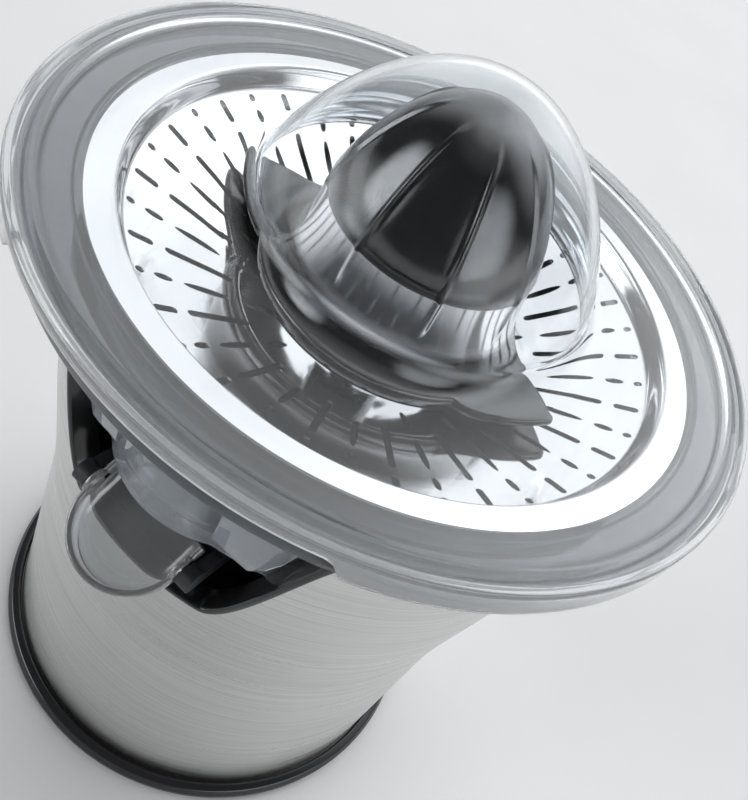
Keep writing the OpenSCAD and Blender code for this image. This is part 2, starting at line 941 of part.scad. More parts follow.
// Everything behind the wings and outside the narrower rear wall of the skirt
module skirt_relief() {
    linear_extrude(height = rim_z)
        difference() {
            polygon([[0, 0], [60, 22], [60, 60], [-60, 60], [-60, 22]]);
            circle(r = skirt_rear_r);
        }
}

module reamer_cone() {
    skirt_bottom = sieve_z(skirt_r) + wing_gap + 0.5;
    outside = cone_outline(0);
    inside = [for (p = cone_outline(-cone_wall))
        if (p[0] > cone_hub_r && p[0] < skirt_r - 4) p - [0, cone_wall]];
    color([0.09, 0.09, 0.095])
    difference() {
        union() {
            difference() {
                rotate_extrude()
                    polygon(concat(
                        [[0, rim_z + cone_h]], outside,
                        [[skirt_r, skirt_bottom], [skirt_r - 2, skirt_bottom]],
                        reversed(inside),
                        [[cone_hub_r, rim_z + cone_h - 12], [cone_hub_r, cone_hub_bottom],
                         [0, cone_hub_bottom]]
                    ));
                skirt_relief();
            }
            rotate_extrude()
                translate([skirt_rear_r - 0.4 - cone_wall, skirt_bottom]) square([cone_wall, 9]);
            for (i = [0:rib_count - 1])
                rotate([0, 0, wing_angle + i * 360 / rib_count]) cone_rib();
            rotate([0, 0, wing_angle]) wing();
            rotate([0, 0, left_wing_angle]) mirror([0, 1, 0]) wing();
        }
        translate([0, 0, cone_hub_bottom - 1])
            linear_extrude(height = shaft_top - cone_hub_bottom + 1.5) shaft_section(running_gap);
    }
}

// Points down the cone's surface from near its tip to its skirt, moved outwards by the given amount
function rib_line(grow) = concat(
    [for (h = [0.92 * cone_h:-4:cone_foot_z - rim_z + 1]) [cone_curve(h) + grow, rim_z + h]],
    [for (a = [0:9:27])
        [skirt_r - (skirt_r - cone_curve(cone_foot_z - rim_z)) * cos(a) + grow,
         cone_foot_z - (cone_foot_z - skirt_top) * sin(a)]]
);

// One rib: an upright blade that stands out from the cone's surface
module cone_rib() {
    rotate([90, 0, 0])
        translate([0, 0, -rib_w / 2])
            linear_extrude(height = rib_w)
                polygon(concat(rib_line(rib_h), reversed(rib_line(-1.1))));
}

// The dome's outline from its base to its tip, with the flare that joins it to the brim
function dome_outline(inset) = concat(
    [for (a = [0:18:90])
        let (foot = dome_curve(flare_z - rim_z))
        [flare_r - (flare_r - foot) * sin(a) - inset,
         brim_z + brim_t + (flare_z - brim_z - brim_t) * (1 - cos(a)) - inset * 0.3]],
    [for (i = [1:18])
        let (h0 = flare_z - rim_z, h = h0 + (dome_h - h0) * sin(i * 5))
        [max(0, dome_curve(h) - (i < 18 ? inset * cos(i * 5 * 0.7) : 0)), rim_z + h
            - inset * sin(i * 5)]]
);

module dust_cover() {
    color([0.8, 0.84, 0.87, 0.3])
    difference() {
        rotate_extrude()
            union() {
                polygon(concat(dome_outline(0), reversed(dome_outline(cover_wall))));
                translate([flare_r - cover_wall - 0.5, brim_z])
                    square([rim_r - flare_r + cover_wall + 0.5, brim_t]);
                translate([rim_r - lip_t, lip_bottom]) square([lip_t, rim_z - lip_bottom]);
                translate([97, brim_z + 1]) square([1.4, 1.7]);
            }
        rotate([0, 0, -90 - lip_gap_angle])
            rotate_extrude(angle = 2 * lip_gap_angle)
                translate([rim_r - lip_t - 1, lip_bottom - 1])
                    square([6, brim_z - lip_bottom + 1]);
    }
}

base_ring();
bottom_cover();
rubber_feet();
base_screws();
cord_gland();
terminal_block();
steel_sleeve();
cutout_trim();
inner_housing();
shaft_seal();
shaft_bush();
gearbox_plate();
plate_bushes();
gearbox_screws();
gear_axle();
intermediate_gear();
output_gear();
drive_shaft();
shaft_clip();
return_spring();
switch_bracket();
start_switch();
switch_plunger();
upper_bracket();
lower_bracket();
stator_core();
stator_coils();
motor_screws();
rotor();
rotor_shaft();
motor_pinion();
cooling_fan();
motor_bushes();
juice_collector();
spout();
sieve();
reamer_cone();
dust_cover();
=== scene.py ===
"""Looks of a citrus press, built round its CAD frame.

Lengths in the shape code are in millimetres and the last step of every mesh turns them into metres.
The drive axis is Z, the table is z = 0, and the spout faces -Y.
"""

import json
import math

import bmesh
import bpy
import numpy as np
from mathutils import Matrix, Vector


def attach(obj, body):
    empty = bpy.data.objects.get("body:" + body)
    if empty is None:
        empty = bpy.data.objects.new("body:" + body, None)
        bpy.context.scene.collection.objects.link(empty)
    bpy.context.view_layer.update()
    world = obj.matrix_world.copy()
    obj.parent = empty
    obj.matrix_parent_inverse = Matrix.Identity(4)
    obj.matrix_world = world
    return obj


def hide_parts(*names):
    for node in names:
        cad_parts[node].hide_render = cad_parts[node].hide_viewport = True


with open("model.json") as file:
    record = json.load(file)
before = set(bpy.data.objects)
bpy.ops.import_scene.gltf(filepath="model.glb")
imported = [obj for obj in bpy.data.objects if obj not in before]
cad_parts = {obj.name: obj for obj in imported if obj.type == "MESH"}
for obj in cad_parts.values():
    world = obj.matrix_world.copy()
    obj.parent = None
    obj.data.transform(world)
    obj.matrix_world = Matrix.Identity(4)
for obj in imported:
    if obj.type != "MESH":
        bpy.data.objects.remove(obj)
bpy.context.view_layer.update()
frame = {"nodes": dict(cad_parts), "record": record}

MM = 0.001

# ---------- main sizes, as in the CAD part ----------

RIM_Z = 210.0
RIM_R = 104.0
BRIM_TOP = 209.0
BRIM_BOTTOM = 207.0
LIP_BOTTOM = 201.5
LIP_INNER_R = 101.8
LIP_GAP = math.radians(28)
DOME_R = 49.8
DOME_H = 49.3
FLARE_R = 57.0
FLARE_Z = 215.0
COVER_WALL = 1.8

WAIST_R = 77.3
SHOULDER_R = 85.0
SLEEVE_T = 0.8
SLEEVE_BOTTOM = 4.6
SLEEVE_TOP = 182.0
CUT_LOW = 129.0
CUT_R = 83.5
CUT_START = 16.0
CUT_END = 38.0
TRIM_T = 2.0
TRIM_RING_T = 4.0
TRIM_DEPTH = 7.5
TRIM_PROUD = 0.3
TRIM_ARC_R = 83.0

SIEVE_TOP = 204.7
SIEVE_T = 0.6
SIEVE_RIM_R = 86.5
SIEVE_FILLET_R = 80.0
SIEVE_INNER_R = 26.0
SIEVE_HOLE_R = 15.5
SLOPE_R = 46.0
SLOPE_Z = 185.5
SLOPE = 0.42

CONE_R = 31.4
CONE_H = 43.6
CONE_FOOT_H = 8.0
SKIRT_R = 40.5
SKIRT_TOP = 192.0
SKIRT_REAR_R = 34.3
SKIRT_REAR_START = math.radians(20.1)
WING_ANGLE = math.radians(-7)
LEFT_WING_ANGLE = math.pi - WING_ANGLE
WING_GAP = 3.9
WING_T = 3.2
CONE_WALL = 2.2
HUB_R = 8.0
HUB_BORE_R = 4.05
HUB_BOTTOM = 180.0
HUB_TOP = 246.0
RIB_COUNT = 8
RIB_H = 0.9
RIB_HALF = 0.75

BOWL_R = 76.5
BOWL_T = 2.2
BOWL_BOTTOM = 150.0
BOWL_UNDER = 154.0
BOWL_FLOOR = 156.2
SHELF_R = 83.0
SHELF_Z = 188.5
COLLECTOR_RIM_R = 101.0
RIM_INNER_R = 99.0
SEAT_Z = 204.1
CHIMNEY_R = 13.4
CHIMNEY_BORE_R = 11.6
CHIMNEY_TOP = 176.0
NOSE_R = 30.0
NOSE_X = -2.0
NOSE_Y = -51.0
FLAP_OUTER_R = 80.2
FLAP_INNER_R = 78.4
FLAP_TOP = 188.0
OUTLET_Y = -74.0

PIVOT = (0.0, -82.5, 146.0)
SPOUT_DROP = math.radians(35)
SPOUT_HALF = 16.6
SPOUT_LENGTH = 18.5
SPOUT_REAR = 7.0
SPOUT_FLOOR = -6.5
SPOUT_RIM = 1.5
SPOUT_T = 1.6
EAR_R = 4.0
PIN_HOLE_R = 1.85


# ---------- curves ----------


def smooth_step(t):
    """Rises from 0 to 1 as t goes from 0 to 1, level at both ends."""
    u = np.clip(t, 0.0, 1.0)
    return u * u * (3 - 2 * u)


def skin_r(z):
    """Outer radius of the steel sleeve at height z."""
    return WAIST_R + (SHOULDER_R - WAIST_R) * smooth_step((z - 80) / 90)


def cut_z(angle):
    """Height of the front cut-out's edge at an angle in degrees from the front."""
    rise = smooth_step((abs(angle) - CUT_START) / (CUT_END - CUT_START))
    return CUT_LOW + (SLEEVE_TOP - CUT_LOW) * rise


def dome_curve(h):
    """Outer radius of the dome at a height above the rim."""
    return DOME_R * math.sqrt(max(0.0, 1 - (h / DOME_H) ** 1.3))


def cone_curve(h):
    """Outer radius of the reamer cone at a height above the rim."""
    return CONE_R * math.sqrt(max(0.0, 1 - (h / CONE_H) ** 1.54))


def sieve_slope_z(r):
    """Height of the sieve's sloping part at a radius."""
    return SLOPE_Z + SLOPE * (r - SLOPE_R)


def offset_line(line, distance):
    """The open line of (r, z) points moved sideways, to the right of its direction."""
    points = np.array(line, float)
    along = np.gradient(points, axis=0)
    along /= np.linalg.norm(along, axis=1)[:, None]
    right = np.stack([along[:, 1], -along[:, 0]], axis=1)
    return points + right * distance


def rounded(corners, steps=5):
    """Closed outline through corners (r, z, radius), with each corner rounded to its radius."""
    outline = []
    for i, (r, z, radius) in enumerate(corners):
        here = Vector((r, z))
        if radius == 0:
            outline.append((r, z))
            continue
        to_last = (Vector(corners[i - 1][:2]) - here).normalized()
        to_next = (Vector(corners[(i + 1) % len(corners)][:2]) - here).normalized()
        half = to_last.angle(to_next) / 2
        centre = here + (to_last + to_next).normalized() * (radius / math.sin(half))
        first = here + to_last * (radius / math.tan(half)) - centre
        last = here + to_next * (radius / math.tan(half)) - centre
        turn = math.pi - 2 * half
        for step in range(steps + 1):
            t = step / steps
            arm = (first * math.sin((1 - t) * turn) + last * math.sin(t * turn)) / math.sin(turn)
            outline.append(tuple(centre + arm))
    return outline


# ---------- meshes ----------


def grid_faces(rows, columns, close_rows=False, close_columns=False, start=0):
    """Quads of a grid whose vertices run row by row."""
    faces = []
    for row in range(rows if close_rows else rows - 1):
        for column in range(columns if close_columns else columns - 1):
            next_row = (row + 1) % rows
            next_column = (column + 1) % columns
            faces.append(
                (
                    start + row * columns + column,
                    start + row * columns + next_column,
                    start + next_row * columns + next_column,
                    start + next_row * columns + column,
                )
            )
    return faces


def to_piece(name, points, faces, crease=40.0):
    """A smooth-shaded object from points in millimetres, with edges sharper than crease kept crisp."""
    mesh = bpy.data.meshes.new(name)
    mesh.from_pydata((np.asarray(points, float) * MM).tolist(), [], faces)
    made = bmesh.new()
    made.from_mesh(mesh)
    bmesh.ops.remove_doubles(made, verts=made.verts, dist=1e-7)
    bmesh.ops.recalc_face_normals(made, faces=made.faces)
    made.to_mesh(mesh)
    made.free()
    mesh.shade_smooth()
    mesh.set_sharp_from_angle(angle=math.radians(crease))
    piece = bpy.data.objects.new(name, mesh)
    bpy.context.scene.collection.objects.link(piece)
    return piece


def turned(outline_at, azimuths):
    """Points and faces of a closed (r, z) outline carried round the axis; it may vary on the way."""
    rows = [outline_at(azimuth) for azimuth in azimuths]
    points = []
    for azimuth, outline in zip(azimuths, rows):
        for r, z in outline:
            points.append((r * math.cos(azimuth), r * math.sin(azimuth), z))
    faces = grid_faces(len(rows), len(rows[0]), close_rows=True, close_columns=True)
    return points, faces


def even_azimuths(count):
    """Azimuths in radians, evenly spaced round the axis."""
    return [2 * math.pi * i / count for i in range(count)]


def from_front(azimuth):
    """Angle in radians between an azimuth and the front, -Y; positive towards +X."""
    return (azimuth + math.pi / 2 + math.pi) % (2 * math.pi) - math.pi


def joined(*parts):
    """Several (points, faces) as one."""
    points, faces = [], []
    for part_points, part_faces in parts:
        start = len(points)
        points.extend(tuple(p) for p in part_points)
        faces.extend(tuple(i + start for i in face) for face in part_faces)
    return points, faces


# ---------- dust cover ----------


def dome_line():
    """The cover's outside from the dome's tip down the flare to the brim."""
    foot_h = FLARE_Z - RIM_Z
    line = []
    for i in range(49):
        h = foot_h + (DOME_H - foot_h) * math.cos(math.radians(90) * i / 48)
        line.append((dome_curve(h), RIM_Z + h))
    dome_foot_r = dome_curve(foot_h)
    for i in range(1, 13):
        a = math.radians(90) * (1 - i / 12)
        r = FLARE_R - (FLARE_R - dome_foot_r) * math.sin(a)
        line.append((r, BRIM_TOP + (FLARE_Z - BRIM_TOP) * (1 - math.cos(a))))
    return line


def cover_outline(lip_bottom):
    """Closed outline of the cover: dome, flare, brim with its bead, and the turned-down lip."""
    outside = dome_line()
    inside = offset_line(outside, COVER_WALL)
    inside[0] = (0.0, RIM_Z + DOME_H - COVER_WALL)
    bead = [(96.2, BRIM_TOP), (96.9, 209.45), (97.7, 209.65), (98.5, 209.45), (99.2, BRIM_TOP)]
    lip = rounded(
        [
            (101.2, BRIM_TOP, 0.4),
            (102.0, RIM_Z, 0.5),
            (RIM_R, RIM_Z, 0.9),
            (RIM_R, lip_bottom, 0.7),
            (LIP_INNER_R, lip_bottom, 0.5),
            (LIP_INNER_R, BRIM_BOTTOM - 0.01, 0.0),
        ]
    )
    brim_under = [(r, BRIM_BOTTOM) for r in (100.5, 96, 90, 80, 70)]
    back = [(r, max(z, BRIM_BOTTOM)) for r, z in inside[::-1]]
    brim_over = [(r, BRIM_TOP) for r in (64, 72, 80, 88, 94)]
    return [tuple(p) for p in outside] + brim_over + bead + lip + brim_under + back


def cover_lip_bottom(azimuth):
    """The lip's lower edge, which is cut back at the front so that the spout is in reach."""
    away = abs(from_front(azimuth))
    full = smooth_step((away - LIP_GAP + 0.02) / 0.04)
    short = BRIM_BOTTOM - 0.6
    return short + (LIP_BOTTOM - short) * full


def make_cover():
    """The one-piece cover, turned from its outline."""
    azimuths = even_azimuths(288)
    return to_piece("cover_dome", *turned(lambda a: cover_outline(cover_lip_bottom(a)), azimuths))


# ---------- juice collector ----------


def nose_r(azimuth):
    """Radius of the front chamber's wall: a wide curve that stands out from the bowl."""
    away = from_front(azimuth)
    centre = Vector((NOSE_X, NOSE_Y))
    toward = Vector((math.sin(away), -math.cos(away)))
    along = centre.dot(toward)
    reach = NOSE_R**2 - (centre - along * toward).length_squared
    return along + math.sqrt(max(reach, 0.0))


def collector_outline(azimuth):
    """Closed outline of the collector's bowl, shelf and rim, with the front chamber bulging out."""
    bulge = max(0.0, nose_r(azimuth) - BOWL_R) if abs(from_front(azimuth)) < 0.5 else 0.0
    outer_r = BOWL_R + bulge
    inner_r = outer_r - BOWL_T
    corners = [
        (CHIMNEY_BORE_R, BOWL_UNDER, 0.0),
        (BOWL_R - BOWL_T, BOWL_UNDER, 0.3),
        (BOWL_R - BOWL_T, BOWL_BOTTOM, 0.4),
        (outer_r, BOWL_BOTTOM, 0.6),
        (outer_r, SHELF_Z - 2.0, 0.8),
        (SHELF_R, SHELF_Z, 1.0),
        (SHELF_R, SEAT_Z - 2.2, 0.8),
        (SIEVE_RIM_R + 2.5, SEAT_Z - 2.2, 0.6),
        (SIEVE_RIM_R + 2.5, SEAT_Z + 0.3, 0.5),
        (RIM_INNER_R, SEAT_Z + 0.3, 0.5),
        (RIM_INNER_R, SEAT_Z - 5.0, 0.4),
        (COLLECTOR_RIM_R, SEAT_Z - 5.0, 0.5),
        (COLLECTOR_RIM_R, SEAT_Z + 2.4, 0.7),
        (SIEVE_RIM_R + 0.5, SEAT_Z + 2.4, 0.5),
        (SIEVE_RIM_R + 0.5, SEAT_Z, 0.0),
        (SHELF_R - BOWL_T, SEAT_Z, 0.5),
        (SHELF_R - BOWL_T, SHELF_Z + 2.0, 1.0),
        (inner_r, SHELF_Z, 0.8),
        (inner_r, BOWL_FLOOR, 2.0),
        (CHIMNEY_R, BOWL_FLOOR, 1.5),
        (CHIMNEY_R, CHIMNEY_TOP, 0.5),
        (CHIMNEY_BORE_R, CHIMNEY_TOP, 0.5),
    ]
    return rounded(corners, 4)


# A flap's lower edge: angle in degrees from the front, and height
FLAP_EDGE = [(12.5, 158.5), (15.0, 157.6), (18.5, 155.4), (20.8, 154.2), (23.5, 157.6)]
FLAP_EDGE += [(25.6, 163.0), (27.4, 170.5), (29.2, 178.0), (31.5, 186.0)]


def flap(side):
    """A clear flap beside the chamber: it hangs from the shelf and ends in a blunt point."""
    angles = np.linspace(FLAP_EDGE[0][0], FLAP_EDGE[-1][0], 40)
    lows = np.interp(angles, *zip(*FLAP_EDGE))
    points = []
    for angle, low in zip(angles, lows):
        azimuth = -math.pi / 2 + side * math.radians(angle)
        corners = [
            (FLAP_OUTER_R, FLAP_TOP, 0.0),
            (FLAP_OUTER_R, low, 0.6),
            (FLAP_INNER_R, low, 0.6),
            (FLAP_INNER_R, FLAP_TOP, 0.0),
        ]
        for r, z in rounded(corners, 3):
            points.append((r * math.cos(azimuth), r * math.sin(azimuth), z))
    width = len(points) // len(angles)
    faces = grid_faces(len(angles), width, close_columns=True)
    faces.append(tuple(range(width)))
    faces.append(tuple(range(len(points) - width, len(points)))[::-1])
    return points, faces


def outlet_boss():
    """The short round outlet under the chamber."""
    outline = rounded([(3.2, 150.0, 0.3), (4.6, 150.0, 0.4), (4.6, 158.0, 0.6), (3.2, 158.0, 0.5)], 3)
    points, faces = turned(lambda azimuth: outline, even_azimuths(48))
    return [(x, y + OUTLET_Y, z) for x, y, z in points], faces


def make_collector():
    """The collector: its bowl with the rim, the two flaps and the outlet."""
    bowl = turned(collector_outline, even_azimuths(360))
    return to_piece("collector_bowl", *joined(bowl, flap(-1), flap(1), outlet_boss()))


# ---------- sieve ----------

LONG_SLOTS = [(47.0, 66.0), (69.0, 75.5)]
SHORT_SLOTS = [(38.0, 45.0), (50.0, 63.0), (66.0, 71.0), (73.5, 75.8)]
# Slots of the even and odd sectors, and whether they have pointed ends
SLOT_KINDS = [(LONG_SLOTS, False), (SHORT_SLOTS, True)]
SIEVE_SECTORS = 40
SIEVE_PITCH = 2 * math.pi / SIEVE_SECTORS
# A sector has five grid lines, and its slot starts at the third
LINES_PER_SECTOR = 5
SLOT_LINE = 2
STRIP_HALF = 0.45
SIDE_SHARE = 0.35
SMALLEST_STEP = 0.12


def sieve_z(r):
    """Height of the sieve's upper side: a level hub, the slope, and a rounded step up to the rim."""
    slope = sieve_slope_z(max(r, SIEVE_INNER_R))
    step = float(smooth_step((r - SIEVE_FILLET_R + 3.6) / 3.4))
    return slope + (SIEVE_TOP - slope) * step


def slot_half_width(r, slots, pointed):
    """Half of a slot's width at radius r, or half of a narrow strip's between two slots."""
    for low, high in slots:
        if low - 1e-6 <= r <= high + 1e-6:
            if pointed:
                t = (r - low) / (high - low) * 2 - 1
                return math.sqrt(max(0.0, 1 - abs(t) ** 2.2))
            near = min(r - low, high - r)
            return math.sqrt(max(0.0, 1 - (1 - near) ** 2)) if near < 1 else 1.0
    return STRIP_HALF


def sieve_radii():
    """Grid radii: every slot end, finer steps near it, and no two closer than the smallest step."""
    marks = {SIEVE_HOLE_R, 20.0, 24.0, 25.0, 26.0, 27.0, 28.0, 32.0, SIEVE_RIM_R}
    marks |= {float(r) for r in np.linspace(76.2, 82.0, 16)}
    ends = set()
    for low, high in LONG_SLOTS + SHORT_SLOTS:
        count = 12 if high - low > 4 else 8
        for i in range(count + 1):
            marks.add(low + (high - low) * (1 - math.cos(math.pi * i / count)) / 2)
        ends |= {low, high}
    radii = []
    for r in sorted(marks):
        at_end = any(abs(r - end) < 1e-6 for end in ends)
        if not radii or at_end or r - radii[-1] > SMALLEST_STEP:
            radii.append(r)
    return radii


def sieve_points(radii):
    """Rows of points at each radius; the lines beside each slot follow its edge."""
    points = []
    for r in radii:
        widths = [slot_half_width(r, slots, pointed) for slots, pointed in SLOT_KINDS]
        for sector in range(SIEVE_SECTORS):
            edge = widths[sector % 2] / r
            middle = edge + (SIEVE_PITCH / 2 - edge) * SIDE_SHARE
            for turn in (-SIEVE_PITCH / 2, -middle, -edge, edge, middle):
                azimuth = sector * SIEVE_PITCH + turn
                points.append((r * math.cos(azimuth), r * math.sin(azimuth), sieve_z(r)))
    return points


def make_sieve():
    """The sieve as a polar grid whose lines follow the slots' edges, so that slots are real holes."""
    radii = sieve_radii()
    top = np.array(sieve_points(radii))
    under = top - (0, 0, SIEVE_T)
    count = len(top)
    width = SIEVE_SECTORS * LINES_PER_SECTOR
    faces = []
    for i, (r, next_r) in enumerate(zip(radii, radii[1:])):
        for j in range(width):
            slots = SLOT_KINDS[j // LINES_PER_SECTOR % 2][0]
            in_slot = any(low - 1e-6 <= r and next_r <= high + 1e-6 for low, high in slots)
            next_j = (j + 1) % width
            a, b = i * width + j, i * width + next_j
            c, d = (i + 1) * width + next_j, (i + 1) * width + j
            if j % LINES_PER_SECTOR == SLOT_LINE and in_slot:
                faces.append((a, d, d + count, a + count))
                faces.append((c, b, b + count, c + count))
            else:
                faces.append((a, b, c, d))
                faces.append((d + count, c + count, b + count, a + count))
    for j in range(width):
        next_j = (j + 1) % width
        faces.append((next_j, j, j + count, next_j + count))
        a, b = count - width + j, count - width + next_j
        faces.append((a, b, b + count, a + count))
    return to_piece("sieve_bowl", np.vstack([top, under]), faces, 50)


# ---------- reamer cone ----------

# The wing's outer edge: angle in degrees from the wing's axis, and radius
WING_EDGE = [(-27, 36.5), (-20, 42.5), (-14, 46.5), (-8, 50.5), (-2.5, 54.0), (1, 56.3), (2.8, 57.2)]
WING_EDGE += [(4.1, 56.8), (5.5, 55.0), (9.5, 52.0), (17, 46.7), (25, 42.0), (36, 33.5)]


def foot_r(azimuth):
    """Outer radius of the cone's foot: a skirt, narrower behind, or the edge of a mirrored wing."""
    rear = math.sin(azimuth) > math.sin(SKIRT_REAR_START)
    reach = SKIRT_REAR_R if rear else SKIRT_R
    for axis, hand in ((WING_ANGLE, 1), (LEFT_WING_ANGLE, -1)):
        away = hand * math.degrees((azimuth - axis + math.pi) % (2 * math.pi) - math.pi)
        reach = max(reach, float(np.interp(away, *zip(*WING_EDGE))))
    return reach


def flare_z(r):
    """Height of the flare's upper side at a radius, which runs out level into the skirt or a wing."""
    start = cone_curve(CONE_FOOT_H)
    t = min(max((SKIRT_R - r) / (SKIRT_R - start), 0.0), 1.0)
    skirt = RIM_Z + CONE_FOOT_H - (RIM_Z + CONE_FOOT_H - SKIRT_TOP) * math.sqrt(1 - t * t)
    drop = SKIRT_TOP - (sieve_slope_z(SKIRT_R) + WING_GAP + WING_T)
    wing = sieve_slope_z(r) + WING_GAP + WING_T + drop * max(0.0, 1 - (r - SKIRT_R) / 6) ** 2
    return wing if r > SKIRT_R else skirt


def rib_height(azimuth, r, h):
    """How far the surface stands out at a rib."""
    pitch = 2 * math.pi / RIB_COUNT
    away = (azimuth - WING_ANGLE + pitch / 2) % pitch - pitch / 2
    across = math.exp(-((away * r / RIB_HALF) ** 2))
    along = float(smooth_step((CONE_H * 0.94 - h) / 4) * smooth_step((h + 7) / 8))
    return RIB_H * across * along


def cone_section(azimuth):
    """Closed outline of the cone at an azimuth: tip, ribbed side, flare, foot edge and the inside."""
    outline = [(0.0, RIM_Z + CONE_H)]
    for i in range(1, 41):
        h = CONE_FOOT_H + (CONE_H - CONE_FOOT_H) * math.cos(math.radians(90) * i / 40)
        r = cone_curve(h)
        outline.append((r + rib_height(azimuth, r, h), RIM_Z + h))
    start = cone_curve(CONE_FOOT_H)
    reach = foot_r(azimuth)
    for i in range(1, 25):
        t = i / 24
        r = start + (reach - 1.0 - start) * (1 - math.cos(math.radians(90) * t) if t < 1 else 1.0)
        z = flare_z(r)
        outline.append((r + rib_height(azimuth, r, z - RIM_Z), z))
    top = flare_z(reach - 1.0)
    bottom = sieve_slope_z(max(reach, SKIRT_R)) + WING_GAP + (0.5 if reach <= SKIRT_R else 0.0)
    for i in range(1, 6):
        a = math.radians(180) * i / 6
        middle = (top + bottom) / 2
        outline.append((reach - 1.0 + math.sin(a), middle + (top - bottom) / 2 * math.cos(a)))
    outline.append((reach - 1.2, bottom))
    inner = min(reach, SKIRT_R) - CONE_WALL
    under_wing = sieve_slope_z(SKIRT_R - 3.4) + WING_GAP + 0.5
    outline.append((inner, bottom if reach <= SKIRT_R else under_wing))
    for r in np.linspace(inner - 1.0, start - 1.0, 8):
        outline.append((float(r) - 1.6, flare_z(float(r)) - CONE_WALL))
    for i in range(12, -1, -1):
        h = CONE_FOOT_H + (CONE_H - CONE_FOOT_H) * math.cos(math.radians(90) * i / 12)
        outline.append((max(0.0, cone_curve(h) - CONE_WALL), RIM_Z + h - CONE_WALL))
    return outline


def make_cone():
    """The cone's ribbed shell with its wings, and the hub that sits on the drive shaft."""
    shell = turned(cone_section, even_azimuths(720))
    corners = [
        (HUB_BORE_R, HUB_BOTTOM, 0.4),
        (HUB_R, HUB_BOTTOM, 0.5),
        (HUB_R, HUB_TOP, 0.5),
        (HUB_BORE_R, HUB_TOP, 0.5),
    ]
    hub = rounded(corners, 3)
    return to_piece("cone_reamer", *joined(shell, turned(lambda azimuth: hub, even_azimuths(64))), 55)


# ---------- spout ----------


def make_spout():
    """A rounded scoop: one wall section carried round the front and along both sides, plus two ears."""
    section = rounded(
        [
            (0.0, SPOUT_FLOOR, 0.0),
            (SPOUT_HALF, SPOUT_FLOOR, 5.0),
            (SPOUT_HALF, SPOUT_RIM, 0.75),
            (SPOUT_HALF - SPOUT_T, SPOUT_RIM, 0.75),
            (SPOUT_HALF - SPOUT_T, SPOUT_FLOOR + SPOUT_T, 3.6),
            (0.0, SPOUT_FLOOR + SPOUT_T, 0.0),
        ],
        8,
    )
    front_y = SPOUT_HALF - SPOUT_LENGTH
    frames = [(0.0, y) for y in np.linspace(SPOUT_REAR, front_y, 8)]
    frames += [(math.radians(180) * i / 48, front_y) for i in range(1, 48)]
    frames += [(math.pi, y) for y in np.linspace(front_y, SPOUT_REAR, 8)]
    points = []
    for turn, y in frames:
        for d, z in section:
            points.append((d * math.cos(turn), y - d * math.sin(turn), z))
    width = len(section)
    faces = grid_faces(len(frames), width)
    faces.append(tuple(range(width)))
    faces.append(tuple(range(len(points) - width, len(points)))[::-1])
    scoop = (points, faces)
    half = SPOUT_T / 2
    corners = [(PIN_HOLE_R, -half, 0.2), (EAR_R, -half, 0.3), (EAR_R, half, 0.3), (PIN_HOLE_R, half, 0.2)]
    ear = rounded(corners, 3)
    ring_points, ring_faces = turned(lambda azimuth: ear, even_azimuths(48))
    ears = []
    for side in (-1, 1):
        x = side * (SPOUT_HALF - half)
        ears.append(([(x + pz, py, px) for px, py, pz in ring_points], ring_faces))
    points, faces = joined(scoop, *ears)
    place = Matrix.Translation(PIVOT) @ Matrix.Rotation(SPOUT_DROP, 4, "X")
    return to_piece("spout_scoop", [tuple(place @ Vector(p)) for p in points], faces)


# ---------- sleeve, trim and base ----------


def sleeve_top(azimuth):
    """Height of the sleeve's upper edge, which dips at the front cut-out."""
    away = from_front(azimuth)
    top = SLEEVE_TOP
    # The skin's radius depends on the height that is looked for, so it is settled in a few rounds
    for _ in range(12):
        x = skin_r(top) * math.sin(away)
        if abs(away) > math.pi / 2 or abs(x) >= CUT_R * math.sin(math.radians(CUT_END)):
            return SLEEVE_TOP
        top = float(cut_z(math.degrees(math.asin(x / CUT_R))))
    return top


def sleeve_section(azimuth):
    """Closed outline of the thin steel wall at an azimuth."""
    top = sleeve_top(azimuth)
    heights = np.linspace(SLEEVE_BOTTOM, top, 64)
    outside = [(float(skin_r(z)), float(z)) for z in heights]
    inside = [(float(skin_r(z)) - SLEEVE_T, float(z)) for z in heights[::-1]]
    return outside + inside


def make_sleeve():
    """The thin steel skin with its front cut-out."""
    return to_piece("sleeve_skin", *turned(sleeve_section, even_azimuths(480)), 50)


def make_trim():
    """The moulded edge strip: a rounded section carried along the sleeve's upper edge."""
    count = 720
    azimuths = even_azimuths(count)
    heights = np.array([sleeve_top(a) for a in azimuths])
    arc = 2 * math.pi / count * TRIM_ARC_R
    slope = (np.roll(heights, -1) - np.roll(heights, 1)) / (2 * arc)
    slope = (np.roll(slope, -2) + np.roll(slope, -1) + slope + np.roll(slope, 1) + np.roll(slope, 2)) / 5
    points = []
    for azimuth, height, rise in zip(azimuths, heights, slope):
        ring = float(smooth_step((height - SLEEVE_TOP + 12) / 12))
        thick = TRIM_T + (TRIM_RING_T - TRIM_T) * ring
        length = math.hypot(1.0, rise)
        section = rounded(
            [
                (TRIM_PROUD, 0.0, 0.5),
                (TRIM_PROUD, thick, 1.2 * thick / TRIM_RING_T + 0.4),
                (-TRIM_DEPTH, thick, 0.8),
                (-TRIM_DEPTH, 0.0, 0.6),
            ],
            4,
        )
        for rim_share, up in section:
            z = height + up / length
            turn = azimuth - up * rise / length / TRIM_ARC_R
            r = float(skin_r(z)) + rim_share
            points.append((r * math.cos(turn), r * math.sin(turn), z))
    width = len(points) // count
    return to_piece("trim_bezel", points, grid_faces(count, width, True, True))


